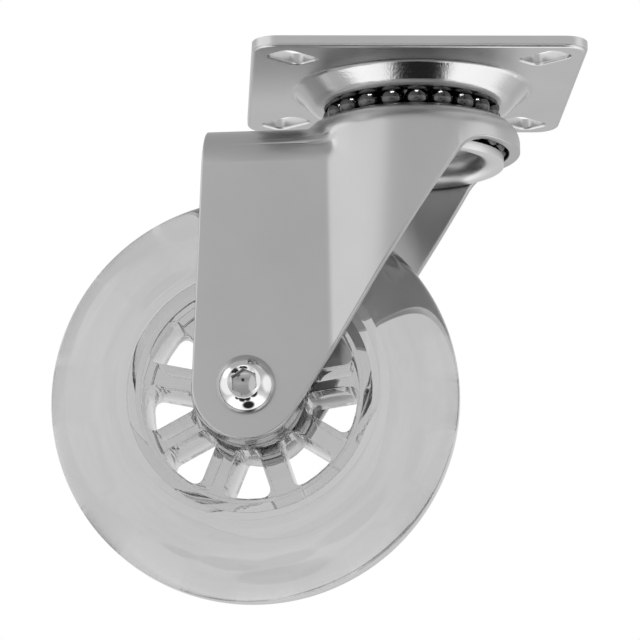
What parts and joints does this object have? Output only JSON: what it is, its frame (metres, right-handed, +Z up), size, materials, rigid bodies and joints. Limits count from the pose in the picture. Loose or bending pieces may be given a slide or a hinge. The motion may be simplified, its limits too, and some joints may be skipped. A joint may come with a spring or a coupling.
{
  "type": "furniture castor",
  "caption": "Swivel plate castor with a clear spoked wheel in a swept-back pressed steel fork on two rings of balls.",
  "frame": {"origin": "centre of the mounting plate's top face, on the swivel axis", "axes": "+Z up out of the plate, X and Y along the plate's sides; the fork trails towards -X, turned -7.23 degrees about Z"},
  "size_m": [0.0965, 0.06, 0.097],
  "materials": {
    "plated_steel": "bright zinc plate with a faint grain",
    "satin_steel": "satin nickel plate",
    "bright_steel": "bright chrome",
    "bearing_steel": "polished",
    "cage_steel": "plain pressed steel",
    "nylon": "matt",
    "clear_core": "clear gloss",
    "clear_tyre": "clear, slightly cloudy"
  },
  "bodies": {
    "plate": {"top_plate": "plated_steel", "kingpin": "plated_steel", "lower_race_cup": "plated_steel"},
    "upper_ball_ring": {"upper_balls": "bearing_steel"},
    "lower_ball_ring": {"lower_balls": "bearing_steel"},
    "swivel_fork": {"fork": "satin_steel", "axle_bolt": "bright_steel", "axle_nut": "bright_steel", "nut_lock_ring": "nylon", "near_axle_washer": "plated_steel", "far_axle_washer": "plated_steel", "bearing_spacer": "plated_steel", "near_bearing_inner_ring": "bearing_steel", "far_bearing_inner_ring": "bearing_steel"},
    "near_bearing_set": {"near_bearing_balls": "bearing_steel", "near_bearing_cage": "cage_steel"},
    "far_bearing_set": {"far_bearing_balls": "bearing_steel", "far_bearing_cage": "cage_steel"},
    "wheel": {"tyre": "clear_tyre", "wheel_core": "clear_core", "near_bearing_outer_ring": "bearing_steel", "far_bearing_outer_ring": "bearing_steel", "near_bearing_outer_shield": "bearing_steel", "near_bearing_inner_shield": "bearing_steel", "far_bearing_outer_shield": "bearing_steel", "far_bearing_inner_shield": "bearing_steel"}
  },
  "joints": [
    {"name": "swivel", "type": "hinge", "parent": "plate", "child": "swivel_fork", "pos_m": [0, 0, 0], "axis": [0, 0, 1], "continuous": true},
    {"name": "wheel_spin", "type": "hinge", "parent": "swivel_fork", "child": "wheel", "pos_m": [-0.02922, 0.00371, -0.0595], "axis": [0.1259, 0.992, 0], "continuous": true},
    {"name": "upper_ball_orbit", "type": "hinge", "parent": "plate", "child": "upper_ball_ring", "pos_m": [0, 0, 0], "axis": [0, 0, 1], "continuous": true},
    {"name": "lower_ball_orbit", "type": "hinge", "parent": "plate", "child": "lower_ball_ring", "pos_m": [0, 0, 0], "axis": [0, 0, 1], "continuous": true},
    {"name": "near_bearing_orbit", "type": "hinge", "parent": "swivel_fork", "child": "near_bearing_set", "pos_m": [-0.02922, 0.00371, -0.0595], "axis": [0.1259, 0.992, 0], "continuous": true},
    {"name": "far_bearing_orbit", "type": "hinge", "parent": "swivel_fork", "child": "far_bearing_set", "pos_m": [-0.02922, 0.00371, -0.0595], "axis": [0.1259, 0.992, 0], "continuous": true}
  ],
  "couplings": [
    {"joint": "upper_ball_orbit", "follows": "swivel", "ratio": 0.5},
    {"joint": "lower_ball_orbit", "follows": "swivel", "ratio": 0.55},
    {"joint": "near_bearing_orbit", "follows": "wheel_spin", "ratio": 0.64},
    {"joint": "far_bearing_orbit", "follows": "wheel_spin", "ratio": 0.64}
  ]
}
